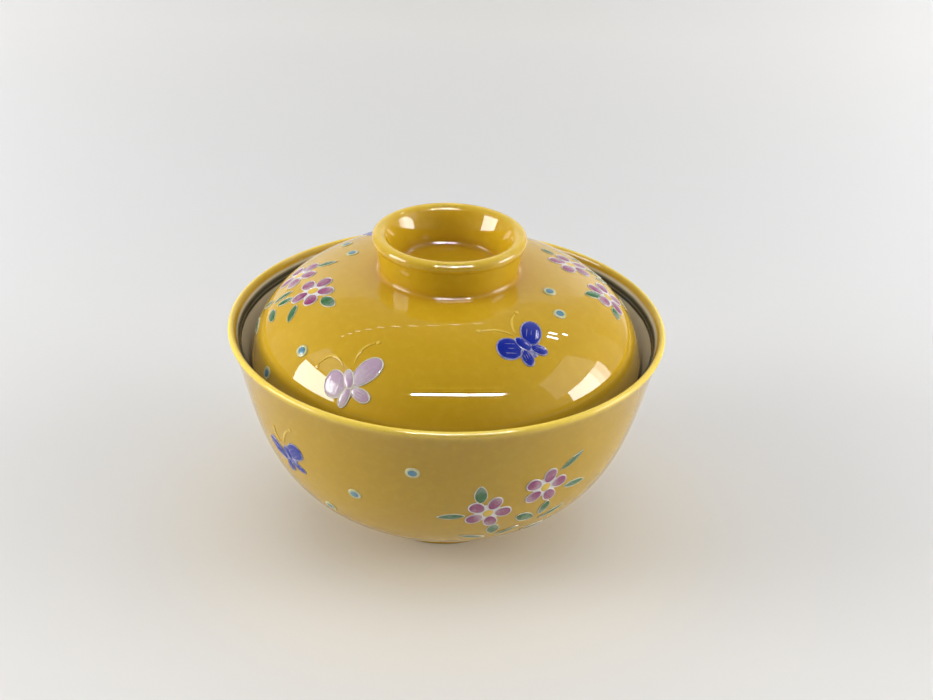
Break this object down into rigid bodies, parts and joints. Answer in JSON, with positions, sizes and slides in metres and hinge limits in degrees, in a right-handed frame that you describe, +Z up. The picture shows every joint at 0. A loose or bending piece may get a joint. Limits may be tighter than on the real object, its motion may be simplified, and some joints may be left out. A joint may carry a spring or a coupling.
{
  "type": "lidded porcelain bowl",
  "caption": "Round glazed porcelain bowl on a foot ring, with a flared rim and a loose domed lid that drops inside the rim and lifts off by its ring grip.",
  "frame": {"origin": "centre of the foot ring on the plane the bowl stands on", "axes": "+Z up along the turning axis; the side seen in the picture faces -Y"},
  "size_m": [0.1296, 0.1296, 0.0945],
  "materials": {
    "bowl_glaze": "glossy ochre-yellow glaze, paler where it thins on the lip",
    "lid_glaze": "glossy ochre-yellow glaze, paler where it thins on the grip's lip",
    "white_glaze": "clear gloss over white porcelain, inside the bowl and under the lid",
    "painted_line": "dark painted double line under the gloss, inside the rim",
    "bare_porcelain": "unglazed, ground smooth, on the foot's land",
    "pink_enamel": "glossy raised mauve-pink enamel",
    "green_enamel": "glossy raised green enamel",
    "blue_enamel": "glossy raised deep-blue enamel",
    "lilac_enamel": "glossy raised pale lilac enamel",
    "turquoise_enamel": "glossy raised turquoise enamel",
    "white_slip": "glossy raised white slip around the enamels"
  },
  "bodies": {
    "bowl": {"bowl": "bowl_glaze"},
    "lid": {"lid": "lid_glaze"}
  },
  "joints": [
    {"name": "lid_lift", "type": "slide", "parent": "bowl", "child": "lid", "axis": [0, 0, 1], "range_m": [0, 0.08]}
  ]
}
